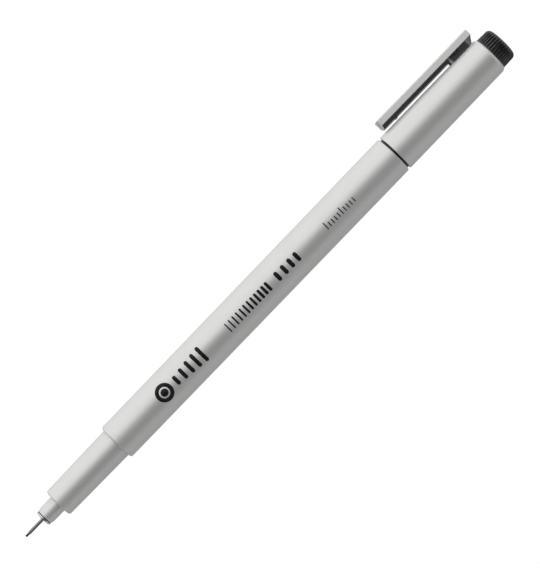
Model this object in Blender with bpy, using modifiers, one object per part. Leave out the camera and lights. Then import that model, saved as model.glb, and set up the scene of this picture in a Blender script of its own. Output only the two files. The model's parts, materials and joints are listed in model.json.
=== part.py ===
"""A technical drawing pen lying on its side, with its cap posted on the rear.

The model is in metres, with +Z up and +X towards the cap end. The pen rests on the plane z = 0 along
its barrel and on the outer edge of its clip. The origin is the centre of the footprint.

Sizes in this file are in millimetres. Along the pen, a station on the barrel is measured from the
nib's tip, and a station on the cap is measured from the cap's mouth. Radii and clip heights are
measured from the pen's axis. The mesh builders multiply by MM.
"""

import math

import bmesh
import bpy
from mathutils import Matrix

MM = 0.001

# Fits. Faces that meet, and bores round their shafts, stay this far apart.
FIT = 0.10
SEAM = 0.05

# Turned work
TURN_STEPS = 40
SMALL_STEPS = 24
NIB_STEPS = 16
FILLET_STEPS = 3
TIP_STEPS = 6
NUB_STEPS = 6
EDGE_RESOLUTION = 1
MERGE = 0.000001

# Barrel
BARREL_FRONT = 30.5
BARREL_REAR = 124.4
BARREL_FRONT_RADIUS = 4.92
BARREL_REAR_RADIUS = 5.07
BARREL_BORE = 4.16
BARREL_FRONT_FILLET = 0.45
BARREL_REAR_FILLET = 0.4

# Grip section: the stepped-down neck that the cap closes over
GRIP_FRONT = 10.8
GRIP_REAR = 44.0
GRIP_FRONT_RADIUS = 3.84
GRIP_REAR_RADIUS = BARREL_BORE - FIT
GRIP_FILLET = 0.55
GRIP_THROAT_REAR = 17.5
GRIP_CHAMBER_RADIUS = 3.2

# Nib group
HOLDER_FRONT = 6.35
HOLDER_REAR = 21.0
HOLDER_RADIUS = 2.29
HOLDER_NOSE_RADIUS = 2.04
HOLDER_NOSE_REAR = 7.5
HOLDER_TAIL_FRONT = 16.5
HOLDER_TAIL_RADIUS = 1.75
HOLDER_WICK_FRONT = 12.0
FERRULE_FRONT = 5.65
FERRULE_RADIUS = 2.0
FERRULE_SHANK_RADIUS = 1.2
FERRULE_SHANK_REAR = 8.8
SHEATH_FRONT = 0.9
SHEATH_REAR = 10.5
SHEATH_RADIUS = 0.4
SHEATH_BORE = 0.32
CORE_RADIUS = 0.27
CORE_REAR = 12.7

# Ink supply
WICK_FRONT = 13.0
WICK_REAR = 53.0
WICK_RADIUS = 0.9
RESERVOIR_FRONT = 44.6
RESERVOIR_REAR = 112.0
RESERVOIR_RADIUS = 3.74
RESERVOIR_SOCKET_REAR = 53.5
FILM_RADIUS = 3.92
FILM_OVERHANG = 0.3

# Tail plug: closes the barrel, and its spigot carries the posted cap
FLANGE_REAR = 124.95
FLANGE_RADIUS = 4.45
PLUG_FRONT = 114.0
PLUG_SPIGOT_REAR = 134.4
PLUG_RADIUS = BARREL_BORE - FIT
PLUG_SPIGOT_RADIUS = 4.02
PLUG_HOLLOW_RADIUS = 3.1
PLUG_HOLLOW_REAR = 133.2

# Cap, with stations from its mouth
CAP_MOUTH = 125.05
CAP_LENGTH = 32.2
CAP_RADIUS = 5.03
CAP_BORE = PLUG_SPIGOT_RADIUS + FIT
CAP_MOUTH_FILLET = 0.3
CAP_SHOULDER = 31.3
CAP_REAR_RADIUS = 4.58
CAP_SHOULDER_FILLET = 1.0
CAP_REAR_FILLET = 0.12
SEAL_FRONT = 20.25
SEAL_LIP_REAR = 21.75
SEAL_REAR = 31.95
SEAL_RADIUS = 3.2
SEAL_BORE = 2.45
SEAL_FLOOR = 31.15
CROWN_FRONT = 32.3
CROWN_REAR = 36.2
CROWN_FRONT_RADIUS = 4.52
CROWN_REAR_RADIUS = 4.38
CROWN_FILLET = 1.2
CROWN_SKIRT_FRONT = 22.2
CROWN_SKIRT_BORE = 3.5
RIB_COUNT = 36
RIB_FRONT = 32.55
RIB_REAR = 36.8
RIB_GROOVE_RADIUS = 0.22
RIB_GROOVE_DEPTH = 0.12

# Clip, with heights from the cap's axis
COVER_TIP = 1.45
COVER_HEEL = 32.25
COVER_TOP = 8.24
COVER_UNDERSIDE = 6.62
COVER_TIP_RADIUS = 1.7
CLIP_HALF_WIDTH = 1.75
COVER_EDGE = 0.3
ARM_TIP = 1.55
ARM_HEEL = 23.2
ARM_TOP = 6.5
ARM_UNDERSIDE = 5.54
ARM_HALF_WIDTH = 1.65
ARM_TIP_RADIUS = 1.6
ARM_LIP_FILLET = 0.65
NUB_STATION = 5.78
NUB_RADIUS = 0.62
NUB_HEIGHT = 0.2
NUB_HALF_WIDTH = 1.4
FOOT_TIP = 23.5
FOOT_HEEL = 30.95
FOOT_TOP = 6.25
FOOT_UNDERSIDE = 5.1
FOOT_SLOPE_UNDERSIDE = 5.55
FOOT_SLOPE_HEEL = 32.05
FOOT_HALF_WIDTH = 1.65
FOOT_CORNER_RADIUS = 0.9
ROOT_TIP = 24.4
ROOT_HEEL = 30.1
ROOT_UNDERSIDE = 3.45
ROOT_TOP = 5.6
ROOT_HALF_WIDTH = 1.0
SLOT_CLEARANCE = 0.2
PLASTIC_EDGE = 0.15
HINGE_STATION = 27.95
HINGE_HEIGHT = 6.5

PEN_LENGTH = CAP_MOUTH + CROWN_REAR

# Pale grey mouldings, black mouldings, and the pieces of the nib and the ink supply
GREY = (0.48, 0.48, 0.475, 1.0)
CLIP_GREY = (0.42, 0.42, 0.42, 1.0)
BLACK = (0.018, 0.018, 0.018, 1.0)
STEEL = (0.72, 0.72, 0.72, 1.0)
INK = (0.01, 0.01, 0.012, 1.0)
FIBRE = (0.06, 0.06, 0.07, 1.0)
FILM = (0.75, 0.78, 0.8, 1.0)
NATURAL = (0.8, 0.8, 0.77, 1.0)


def clip_roll():
    """The clip's angle below the horizontal once its outer edge has rolled down to the table."""
    centre_height = COVER_TOP - COVER_EDGE
    centre_side = CLIP_HALF_WIDTH - COVER_EDGE
    reach = math.hypot(centre_height, centre_side)
    drop = BARREL_REAR_RADIUS - COVER_EDGE
    return math.asin(drop / reach) - math.atan2(centre_side, centre_height)


def clip_side_reach():
    """How far the rolled clip stands out sideways from the pen's axis."""
    roll = clip_roll()
    centre_height = COVER_TOP - COVER_EDGE
    centre_side = CLIP_HALF_WIDTH - COVER_EDGE
    return centre_height * math.cos(roll) + centre_side * math.sin(roll) + COVER_EDGE


def clear_scene():
    for item in list(bpy.data.objects):
        bpy.data.objects.remove(item, do_unlink=True)


def new_collection(name):
    collection = bpy.data.collections.new(name)
    bpy.context.scene.collection.children.link(collection)
    return collection


def new_material(name, colour, roughness, metallic=0.0):
    material = bpy.data.materials.new(name)
    material.use_nodes = True
    shader = material.node_tree.nodes["Principled BSDF"]
    shader.inputs["Base Color"].default_value = colour
    shader.inputs["Roughness"].default_value = roughness
    shader.inputs["Metallic"].default_value = metallic
    material.diffuse_color = colour
    return material


def new_empty(name, collection, parent=None, location=(0.0, 0.0, 0.0), roll=0.0):
    empty = bpy.data.objects.new(name, None)
    empty.empty_display_size = 3.0 * MM
    empty.location = [value * MM for value in location]
    empty.rotation_euler = (roll, 0.0, 0.0)
    empty.parent = parent
    collection.objects.link(empty)
    return empty


def corner_arc(before, corner, after, radius, steps):
    """Points of the arc of this radius that rounds a corner between two straight sides."""
    side_a = (before[0] - corner[0], before[1] - corner[1])
    side_b = (after[0] - corner[0], after[1] - corner[1])
    angle_a = math.atan2(side_a[1], side_a[0])
    angle_b = math.atan2(side_b[1], side_b[0])
    turn = (angle_b - angle_a + math.pi) % (2.0 * math.pi) - math.pi
    half = abs(turn) / 2.0
    middle = angle_a + turn / 2.0
    reach = radius / math.sin(half)
    centre = (corner[0] + reach * math.cos(middle), corner[1] + reach * math.sin(middle))
    sweep = math.pi - abs(turn)
    start = middle + math.pi + math.copysign(sweep / 2.0, turn)
    points = []
    for step in range(steps + 1):
        angle = start - math.copysign(sweep, turn) * step / steps
        points.append((centre[0] + radius * math.cos(angle), centre[1] + radius * math.sin(angle)))
    return points


def rounded(corners, steps=FILLET_STEPS):
    """The outline through (x, y, fillet) corners, with every fillet drawn as an arc."""
    points = []
    for index, (x, y, fillet) in enumerate(corners):
        before = corners[index - 1]
        after = corners[(index + 1) % len(corners)]
        if fillet > 0.0:
            points.extend(corner_arc(before, (x, y), after, fillet, steps))
        else:
            points.append((x, y))
    return points


def dress(piece, material, parent, collection):
    if material:
        piece.data.materials.append(material)
    piece.parent = parent
    collection.objects.link(piece)
    return piece


def turned(name, corners, material, parent, collection, steps=TURN_STEPS):
    """A turned piece from (station, radius, fillet) corners, its outer side from the rear to the front.

    A profile that starts and ends on the axis is solid. Any other is closed round and is hollow.
    """
    mesh = bpy.data.meshes.new(name)
    build = bmesh.new()
    points = rounded(corners)
    verts = [build.verts.new((radius * MM, 0.0, station * MM)) for station, radius in points]
    for start, end in zip(verts, verts[1:]):
        build.edges.new((start, end))
    if points[0][1] > 0.0:
        build.edges.new((verts[-1], verts[0]))
    build.to_mesh(mesh)
    build.free()
    piece = dress(bpy.data.objects.new(name, mesh), material, parent, collection)
    piece.rotation_euler = (0.0, math.pi / 2.0, 0.0)
    turn = piece.modifiers.new("turn", "SCREW")
    turn.axis = "Z"
    turn.angle = 2.0 * math.pi
    turn.steps = steps
    turn.render_steps = steps
    turn.use_merge_vertices = True
    turn.merge_threshold = MERGE
    turn.use_smooth_shade = True
    return piece


def flat_piece(name, points, thickness, edge, material, parent, collection):
    """A flat piece of this thickness with this outline, centred on its own XY plane.

    Its two faces end in rounded edges of radius edge, drawn inside the outline.
    """
    curve = bpy.data.curves.new(name, "CURVE")
    curve.dimensions = "2D"
    curve.fill_mode = "BOTH"
    curve.extrude = (thickness / 2.0 - edge) * MM
    curve.bevel_depth = edge * MM
    curve.bevel_resolution = EDGE_RESOLUTION
    curve.offset = -edge * MM
    curve.render_resolution_u = 0
    spline = curve.splines.new("POLY")
    spline.points.add(len(points) - 1)
    for point, (x, y) in zip(spline.points, points):
        point.co = (x * MM, y * MM, 0.0, 1.0)
    spline.use_cyclic_u = True
    piece = dress(bpy.data.objects.new(name, curve), material, parent, collection)
    weld = piece.modifiers.new("weld", "WELD")
    weld.merge_threshold = MERGE
    return piece


def plan_outline(name, corners, low, high, edge, material, parent, collection):
    """A flat piece between two heights whose outline is in (station, side, fillet) corners."""
    points = rounded(corners, TIP_STEPS)
    piece = flat_piece(name, points, high - low, edge, material, parent, collection)
    piece.location = (0.0, 0.0, (low + high) * MM / 2.0)
    return piece


def side_tool(name, corners, half_width, parent, collection):
    """A cutter whose outline, in (station, height, fillet) corners, is seen from the pen's side."""
    outline = flat_piece(name, rounded(corners), 2.0 * half_width, 0.0, None, parent, collection)
    outline.rotation_euler = (math.pi / 2.0, 0.0, 0.0)
    tool = as_mesh(outline, collection)
    tool.hide_render = True
    tool.display_type = "WIRE"
    return tool


def tip_corners(tip, heel, half_width, tip_radius, heel_radius=0.0):
    """The plan of a bar with a rounded tip, as (station, side, fillet) corners."""
    return [
        (tip, -half_width, tip_radius),
        (heel, -half_width, heel_radius),
        (heel, half_width, heel_radius),
        (tip, half_width, tip_radius),
    ]


def as_mesh(piece, collection):
    """The mesh object that takes a curve object's place."""
    bpy.context.view_layer.update()
    graph = bpy.context.evaluated_depsgraph_get()
    mesh = bpy.data.meshes.new_from_object(piece.evaluated_get(graph))
    build = bmesh.new()
    build.from_mesh(mesh)
    bmesh.ops.remove_doubles(build, verts=build.verts, dist=MERGE)
    build.to_mesh(mesh)
    build.free()
    name = piece.name
    parent = piece.parent
    matrix = piece.matrix_world.copy()
    curve = piece.data
    bpy.data.objects.remove(piece, do_unlink=True)
    bpy.data.curves.remove(curve)
    solid = bpy.data.objects.new(name, mesh)
    collection.objects.link(solid)
    solid.parent = parent
    solid.matrix_world = matrix
    return solid


def box_tool(name, low, high, parent, collection):
    """A box for cutting or joining, from its corners in the parent's frame."""
    mesh = bpy.data.meshes.new(name)
    build = bmesh.new()
    bmesh.ops.create_cube(build, size=1.0)
    size = [(top - bottom) * MM for bottom, top in zip(low, high)]
    bmesh.ops.scale(build, vec=size, verts=build.verts)
    build.to_mesh(mesh)
    build.free()
    tool = bpy.data.objects.new(name, mesh)
    tool.location = [(bottom + top) * MM / 2.0 for bottom, top in zip(low, high)]
    tool.parent = parent
    as_tool(tool, collection)
    return tool


def as_tool(tool, collection):
    tool.hide_render = True
    tool.display_type = "WIRE"
    collection.objects.link(tool)


def combine(piece, tool, operation):
    change = piece.modifiers.new(tool.name, "BOOLEAN")
    change.operation = operation
    change.solver = "EXACT"
    change.object = tool


def make_barrel_tube(material, parent, collection):
    corners = [
        (BARREL_REAR, BARREL_REAR_RADIUS, BARREL_REAR_FILLET),
        (BARREL_FRONT, BARREL_FRONT_RADIUS, BARREL_FRONT_FILLET),
        (BARREL_FRONT, BARREL_BORE, 0.0),
        (BARREL_REAR, BARREL_BORE, 0.0),
    ]
    turned("barrel_tube", corners, material, parent, collection)


def make_grip_section(material, parent, collection):
    throat = HOLDER_RADIUS + FIT
    corners = [
        (GRIP_REAR, GRIP_REAR_RADIUS, 0.0),
        (BARREL_FRONT, GRIP_REAR_RADIUS, 0.0),
        (GRIP_FRONT, GRIP_FRONT_RADIUS, GRIP_FILLET),
        (GRIP_FRONT, throat, 0.0),
        (GRIP_THROAT_REAR, throat, 0.0),
        (GRIP_THROAT_REAR, GRIP_CHAMBER_RADIUS, 0.0),
        (GRIP_REAR, GRIP_CHAMBER_RADIUS, 0.0),
    ]
    turned("grip_section", corners, material, parent, collection)


def make_nib_holder(material, parent, collection):
    socket = FERRULE_SHANK_RADIUS + FIT
    passage = SHEATH_RADIUS + FIT
    wick_bore = WICK_RADIUS + FIT
    corners = [
        (HOLDER_REAR, HOLDER_TAIL_RADIUS, 0.2),
        (HOLDER_TAIL_FRONT, HOLDER_TAIL_RADIUS, 0.0),
        (HOLDER_TAIL_FRONT, HOLDER_RADIUS, 0.0),
        (HOLDER_NOSE_REAR, HOLDER_RADIUS, 0.0),
        (HOLDER_FRONT, HOLDER_NOSE_RADIUS, 0.0),
        (HOLDER_FRONT, socket, 0.0),
        (FERRULE_SHANK_REAR + FIT, socket, 0.0),
        (FERRULE_SHANK_REAR + FIT, passage, 0.0),
        (HOLDER_WICK_FRONT, passage, 0.0),
        (HOLDER_WICK_FRONT, wick_bore, 0.0),
        (HOLDER_REAR, wick_bore, 0.0),
    ]
    turned("nib_holder", corners, material, parent, collection, SMALL_STEPS)


def make_nib_ferrule(material, parent, collection):
    bore = SHEATH_RADIUS + SEAM
    disc_rear = HOLDER_FRONT - SEAM
    corners = [
        (FERRULE_SHANK_REAR, FERRULE_SHANK_RADIUS, 0.1),
        (disc_rear, FERRULE_SHANK_RADIUS, 0.0),
        (disc_rear, FERRULE_RADIUS, 0.0),
        (FERRULE_FRONT, FERRULE_RADIUS, 0.35),
        (FERRULE_FRONT, bore, 0.0),
        (FERRULE_SHANK_REAR, bore, 0.0),
    ]
    turned("nib_ferrule", corners, material, parent, collection, SMALL_STEPS)


def make_nib_sheath(material, parent, collection):
    corners = [
        (SHEATH_REAR, SHEATH_RADIUS, 0.0),
        (SHEATH_FRONT, SHEATH_RADIUS, 0.04),
        (SHEATH_FRONT, SHEATH_BORE, 0.0),
        (SHEATH_REAR, SHEATH_BORE, 0.0),
    ]
    turned("nib_sheath", corners, material, parent, collection, NIB_STEPS)


def make_nib_core(material, parent, collection):
    corners = [
        (CORE_REAR, 0.0, 0.0),
        (CORE_REAR, CORE_RADIUS, 0.0),
        (0.0, CORE_RADIUS, 0.12),
        (0.0, 0.0, 0.0),
    ]
    turned("nib_core", corners, material, parent, collection, NIB_STEPS)


def make_relay_wick(material, parent, collection):
    corners = [
        (WICK_REAR, 0.0, 0.0),
        (WICK_REAR, WICK_RADIUS, 0.3),
        (WICK_FRONT, WICK_RADIUS, 0.3),
        (WICK_FRONT, 0.0, 0.0),
    ]
    turned("relay_wick", corners, material, parent, collection, NIB_STEPS)


def make_ink_reservoir(material, parent, collection):
    socket = WICK_RADIUS + 2.0 * FIT
    corners = [
        (RESERVOIR_REAR, 0.0, 0.0),
        (RESERVOIR_REAR, RESERVOIR_RADIUS, 0.3),
        (RESERVOIR_FRONT, RESERVOIR_RADIUS, 0.3),
        (RESERVOIR_FRONT, socket, 0.0),
        (RESERVOIR_SOCKET_REAR, socket, 0.0),
        (RESERVOIR_SOCKET_REAR, 0.0, 0.0),
    ]
    turned("ink_reservoir", corners, material, parent, collection, SMALL_STEPS)


def make_reservoir_film(material, parent, collection):
    front = RESERVOIR_FRONT - FILM_OVERHANG
    rear = RESERVOIR_REAR + FILM_OVERHANG
    bore = RESERVOIR_RADIUS + SEAM
    corners = [
        (rear, FILM_RADIUS, 0.0),
        (front, FILM_RADIUS, 0.0),
        (front, bore, 0.0),
        (rear, bore, 0.0),
    ]
    turned("reservoir_film", corners, material, parent, collection, SMALL_STEPS)


def make_tail_plug(material, parent, collection):
    flange_front = BARREL_REAR + FIT
    corners = [
        (PLUG_SPIGOT_REAR, 0.0, 0.0),
        (PLUG_SPIGOT_REAR, PLUG_SPIGOT_RADIUS, 0.5),
        (FLANGE_REAR, PLUG_SPIGOT_RADIUS, 0.0),
        (FLANGE_REAR, FLANGE_RADIUS, 0.0),
        (flange_front, FLANGE_RADIUS, 0.0),
        (flange_front, PLUG_RADIUS, 0.0),
        (PLUG_FRONT, PLUG_RADIUS, 0.3),
        (PLUG_FRONT, PLUG_HOLLOW_RADIUS, 0.0),
        (PLUG_HOLLOW_REAR, PLUG_HOLLOW_RADIUS, 0.0),
        (PLUG_HOLLOW_REAR, 0.0, 0.0),
    ]
    turned("tail_plug", corners, material, parent, collection)


def make_cap_shell(material, parent, collection, slot_tool):
    corners = [
        (CAP_LENGTH, CAP_REAR_RADIUS, CAP_REAR_FILLET),
        (CAP_SHOULDER, CAP_RADIUS, CAP_SHOULDER_FILLET),
        (0.0, CAP_RADIUS, CAP_MOUTH_FILLET),
        (0.0, CAP_BORE, 0.0),
        (CAP_LENGTH, CAP_BORE, 0.0),
    ]
    shell = turned("cap_shell", corners, material, parent, collection)
    combine(shell, slot_tool, "DIFFERENCE")


def make_inner_cap(material, parent, collection):
    lip = CAP_BORE - FIT
    corners = [
        (SEAL_REAR, 0.0, 0.0),
        (SEAL_REAR, SEAL_RADIUS, 0.4),
        (SEAL_LIP_REAR, SEAL_RADIUS, 0.0),
        (SEAL_LIP_REAR, lip, 0.0),
        (SEAL_FRONT, lip, 0.3),
        (SEAL_FRONT, SEAL_BORE, 0.2),
        (SEAL_FLOOR, SEAL_BORE, 0.3),
        (SEAL_FLOOR, 0.0, 0.0),
    ]
    turned("inner_cap", corners, material, parent, collection)


def make_rib_tool(parent, collection):
    """The grooves between the crown's ribs: one round cutter repeated about the axis."""
    mesh = bpy.data.meshes.new("rib_tool")
    build = bmesh.new()
    bmesh.ops.create_cone(
        build,
        cap_ends=True,
        segments=6,
        radius1=RIB_GROOVE_RADIUS * MM,
        radius2=RIB_GROOVE_RADIUS * MM,
        depth=(RIB_REAR - RIB_FRONT) * MM,
    )
    taper = (CROWN_REAR_RADIUS - CROWN_FRONT_RADIUS) / (CROWN_REAR - CROWN_FRONT)
    tilt = Matrix.Rotation(math.atan(taper), 3, "Y")
    bmesh.ops.rotate(build, cent=(0.0, 0.0, 0.0), matrix=tilt, verts=build.verts)
    middle = (RIB_FRONT + RIB_REAR) / 2.0
    surface = CROWN_FRONT_RADIUS + taper * (middle - CROWN_FRONT)
    height = surface + RIB_GROOVE_RADIUS - RIB_GROOVE_DEPTH
    bmesh.ops.translate(build, vec=(height * MM, 0.0, middle * MM), verts=build.verts)
    half_pitch = Matrix.Rotation(math.pi / RIB_COUNT, 3, "Z")
    bmesh.ops.rotate(build, cent=(0.0, 0.0, 0.0), matrix=half_pitch, verts=build.verts)
    build.to_mesh(mesh)
    build.free()
    tool = bpy.data.objects.new("rib_tool", mesh)
    tool.rotation_euler = (0.0, math.pi / 2.0, 0.0)
    tool.parent = parent
    as_tool(tool, collection)
    step = bpy.data.objects.new("rib_step", None)
    step.parent = tool
    step.rotation_euler = (0.0, 0.0, 2.0 * math.pi / RIB_COUNT)
    collection.objects.link(step)
    ring = tool.modifiers.new("ring", "ARRAY")
    ring.count = RIB_COUNT
    ring.use_relative_offset = False
    ring.use_object_offset = True
    ring.offset_object = step
    return tool


def make_crown_plug(material, parent, collection, slot_tool, rib_tool):
    skirt = CAP_BORE - FIT
    corners = [
        (CROWN_REAR, 0.0, 0.0),
        (CROWN_REAR, CROWN_REAR_RADIUS, CROWN_FILLET),
        (CROWN_FRONT, CROWN_FRONT_RADIUS, 0.0),
        (CROWN_FRONT, skirt, 0.0),
        (CROWN_SKIRT_FRONT, skirt, 0.2),
        (CROWN_SKIRT_FRONT, CROWN_SKIRT_BORE, 0.0),
        (CROWN_FRONT, CROWN_SKIRT_BORE, 0.0),
        (CROWN_FRONT, 0.0, 0.0),
    ]
    crown = turned("crown_plug", corners, material, parent, collection, RIB_COUNT)
    combine(crown, rib_tool, "DIFFERENCE")
    combine(crown, slot_tool, "DIFFERENCE")


def make_clip_foot(material, parent, collection, tools):
    plan = tip_corners(
        FOOT_TIP, FOOT_SLOPE_HEEL, FOOT_HALF_WIDTH, FOOT_CORNER_RADIUS, FOOT_CORNER_RADIUS
    )
    block = plan_outline(
        "clip_foot", plan, FOOT_UNDERSIDE, FOOT_TOP, PLASTIC_EDGE, material, parent, collection
    )
    foot = as_mesh(block, collection)
    profile = [
        (FOOT_TIP - 1.0, FOOT_UNDERSIDE - 1.0, 0.0),
        (FOOT_HEEL, FOOT_UNDERSIDE - 1.0, 0.0),
        (FOOT_HEEL, FOOT_SLOPE_UNDERSIDE, 0.3),
        (FOOT_SLOPE_HEEL, FOOT_TOP, 0.0),
        (FOOT_SLOPE_HEEL, FOOT_TOP + 1.0, 0.0),
        (FOOT_TIP - 1.0, FOOT_TOP + 1.0, 0.0),
    ]
    slope = side_tool("foot_profile", profile, CLIP_HALF_WIDTH, parent, tools)
    combine(foot, slope, "INTERSECT")
    low = (ROOT_TIP, -ROOT_HALF_WIDTH, ROOT_UNDERSIDE)
    high = (ROOT_HEEL, ROOT_HALF_WIDTH, ROOT_TOP)
    root = box_tool("root_tool", low, high, parent, tools)
    combine(foot, root, "UNION")


def nub_corners():
    """The side outline of the nub under the arm's tip: an arc below, and a block inside the arm."""
    centre = ARM_UNDERSIDE - NUB_HEIGHT + NUB_RADIUS
    half_sweep = math.acos((NUB_RADIUS - NUB_HEIGHT) / NUB_RADIUS)
    half_length = NUB_RADIUS * math.sin(half_sweep)
    corners = []
    for step in range(NUB_STEPS + 1):
        angle = half_sweep * (2.0 * step / NUB_STEPS - 1.0)
        station = NUB_STATION + NUB_RADIUS * math.sin(angle)
        corners.append((station, centre - NUB_RADIUS * math.cos(angle), 0.0))
    corners.append((NUB_STATION + half_length, centre, 0.0))
    corners.append((NUB_STATION - half_length, centre, 0.0))
    return corners


def make_clip_arm(material, parent, collection, tools):
    plan = tip_corners(ARM_TIP, ARM_HEEL, ARM_HALF_WIDTH, ARM_TIP_RADIUS)
    bar = plan_outline(
        "clip_arm", plan, ARM_UNDERSIDE, ARM_TOP, PLASTIC_EDGE, material, parent, collection
    )
    on_hinge(bar)
    arm = as_mesh(bar, collection)
    front = ARM_TIP - SEAM
    profile = [
        (front, ARM_TOP + 1.0, 0.0),
        (front, ARM_UNDERSIDE - SEAM, ARM_LIP_FILLET),
        (ARM_HEEL + 1.0, ARM_UNDERSIDE - SEAM, 0.0),
        (ARM_HEEL + 1.0, ARM_TOP + 1.0, 0.0),
    ]
    lip = side_tool("arm_profile", profile, CLIP_HALF_WIDTH, parent, tools)
    on_hinge(lip)
    combine(arm, lip, "INTERSECT")
    nub = side_tool("arm_nub", nub_corners(), NUB_HALF_WIDTH, parent, tools)
    on_hinge(nub)
    combine(arm, nub, "UNION")


def make_clip_cover(material, parent, collection):
    plan = tip_corners(COVER_TIP, COVER_HEEL, CLIP_HALF_WIDTH, COVER_TIP_RADIUS)
    cover = plan_outline(
        "clip_cover", plan, COVER_UNDERSIDE, COVER_TOP, COVER_EDGE, material, parent, collection
    )
    on_hinge(cover)


def on_hinge(piece):
    """Shift a piece that is placed by cap station and height into the clip hinge's frame."""
    piece.location.x -= HINGE_STATION * MM
    piece.location.z -= HINGE_HEIGHT * MM


def make_slot_tool(parent, collection):
    """The window through the cap's wall and the crown's skirt that the clip's root passes."""
    low = (ROOT_TIP - SLOT_CLEARANCE, -ROOT_HALF_WIDTH - SLOT_CLEARANCE, CROWN_SKIRT_BORE - 0.6)
    high = (ROOT_HEEL + SLOT_CLEARANCE, ROOT_HALF_WIDTH + SLOT_CLEARANCE, CAP_RADIUS + 1.0)
    return box_tool("slot_tool", low, high, parent, collection)


def build_barrel(materials, axis, pen):
    make_barrel_tube(materials["grey_plastic"], axis, pen)
    make_grip_section(materials["grey_plastic"], axis, pen)
    make_nib_holder(materials["grey_plastic"], axis, pen)
    make_nib_ferrule(materials["steel"], axis, pen)
    make_nib_sheath(materials["steel"], axis, pen)
    make_nib_core(materials["nib_black"], axis, pen)
    make_relay_wick(materials["ink_fibre"], axis, pen)
    make_ink_reservoir(materials["ink_fibre"], axis, pen)
    make_reservoir_film(materials["clear_film"], axis, pen)
    make_tail_plug(materials["black_plastic"], axis, pen)


def build_cap(materials, cap_slide, clip_side, pen, tools):
    slot_tool = make_slot_tool(clip_side, tools)
    rib_tool = make_rib_tool(cap_slide, tools)
    make_cap_shell(materials["grey_plastic"], cap_slide, pen, slot_tool)
    make_inner_cap(materials["natural_plastic"], cap_slide, pen)
    make_crown_plug(materials["black_plastic"], cap_slide, pen, slot_tool, rib_tool)
    make_clip_foot(materials["black_plastic"], clip_side, pen, tools)


def build_clip(materials, clip_side, pen, tools):
    hinge = new_empty("clip_hinge", pen, clip_side, (HINGE_STATION, 0.0, HINGE_HEIGHT))
    make_clip_arm(materials["black_plastic"], hinge, pen, tools)
    make_clip_cover(materials["clip_plastic"], hinge, pen)


def main():
    clear_scene()
    pen = new_collection("technical_pen")
    tools = new_collection("cutters")
    materials = {
        "grey_plastic": new_material("grey_plastic", GREY, 0.42),
        "clip_plastic": new_material("clip_plastic", CLIP_GREY, 0.42),
        "black_plastic": new_material("black_plastic", BLACK, 0.35),
        "steel": new_material("steel", STEEL, 0.15, 1.0),
        "nib_black": new_material("nib_black", INK, 0.6),
        "ink_fibre": new_material("ink_fibre", FIBRE, 0.9),
        "clear_film": new_material("clear_film", FILM, 0.1),
        "natural_plastic": new_material("natural_plastic", NATURAL, 0.5),
    }
    sideways = -(clip_side_reach() - BARREL_REAR_RADIUS) / 2.0
    tip = (-PEN_LENGTH / 2.0, sideways, BARREL_REAR_RADIUS)
    axis = new_empty("pen_axis", pen, None, tip)
    cap_slide = new_empty("cap_slide", pen, axis, (CAP_MOUTH, 0.0, 0.0))
    clip_side = new_empty("clip_side", pen, cap_slide, roll=-(math.pi / 2.0 + clip_roll()))
    build_barrel(materials, axis, pen)
    build_cap(materials, cap_slide, clip_side, pen, tools)
    build_clip(materials, clip_side, pen, tools)
    bpy.context.view_layer.update()


main()
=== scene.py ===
"""The looks of a technical drawing pen that lies on a white table with its cap posted on its rear end.

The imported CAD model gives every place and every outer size, through its nodes' boxes and the clip's
joint. Sizes below are in millimetres and are multiplied by MM. Stations on the barrel run from the
nib's tip, and stations on the clip run from the cap's mouth. Clip heights are from the pen's axis.
"""
import json
import math

import bmesh
import bpy
from mathutils import Matrix, Vector


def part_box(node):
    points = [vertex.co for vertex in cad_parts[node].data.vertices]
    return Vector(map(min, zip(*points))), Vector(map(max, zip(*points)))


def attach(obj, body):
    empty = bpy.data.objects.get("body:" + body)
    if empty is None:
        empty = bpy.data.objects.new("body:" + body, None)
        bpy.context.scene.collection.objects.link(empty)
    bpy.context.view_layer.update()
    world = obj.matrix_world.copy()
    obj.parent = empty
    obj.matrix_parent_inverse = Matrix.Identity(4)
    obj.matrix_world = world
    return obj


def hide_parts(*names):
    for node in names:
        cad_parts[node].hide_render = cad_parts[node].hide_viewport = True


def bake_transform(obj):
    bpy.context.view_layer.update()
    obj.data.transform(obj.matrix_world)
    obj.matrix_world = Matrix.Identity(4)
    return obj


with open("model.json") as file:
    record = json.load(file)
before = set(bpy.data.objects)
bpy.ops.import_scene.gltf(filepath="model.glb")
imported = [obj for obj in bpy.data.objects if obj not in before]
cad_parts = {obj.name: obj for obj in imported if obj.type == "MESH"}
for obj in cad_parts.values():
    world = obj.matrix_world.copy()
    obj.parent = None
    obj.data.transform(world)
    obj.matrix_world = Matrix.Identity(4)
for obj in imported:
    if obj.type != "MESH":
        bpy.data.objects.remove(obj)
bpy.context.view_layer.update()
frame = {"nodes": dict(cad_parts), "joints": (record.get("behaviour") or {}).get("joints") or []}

MM = 0.001
ALONG = Vector((1.0, 0.0, 0.0))

# Meshing
SEGMENTS = 192
FINE_SEGMENTS = 96
ARC_STEPS = 8
SUPPORT = 0.12
SHARP_ANGLE = math.radians(32.0)
EDGE_FILLET = 0.1
FINE_FILLET = 0.03

# Camera: the photograph's viewing angle, framing and distance
IMAGE_LONG_SIDE = 568.0
SENSOR = 36.0
CAMERA_ELEVATION = math.radians(69.5)
PEN_SLOPE = math.radians(46.09)
CAMERA_DISTANCE = 800.0
MM_PER_PIXEL = 0.2350
AIM_STATION = 82.4
AIM_SIDEWAYS = 0.145
CAMERA_STATION = 72.8

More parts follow.
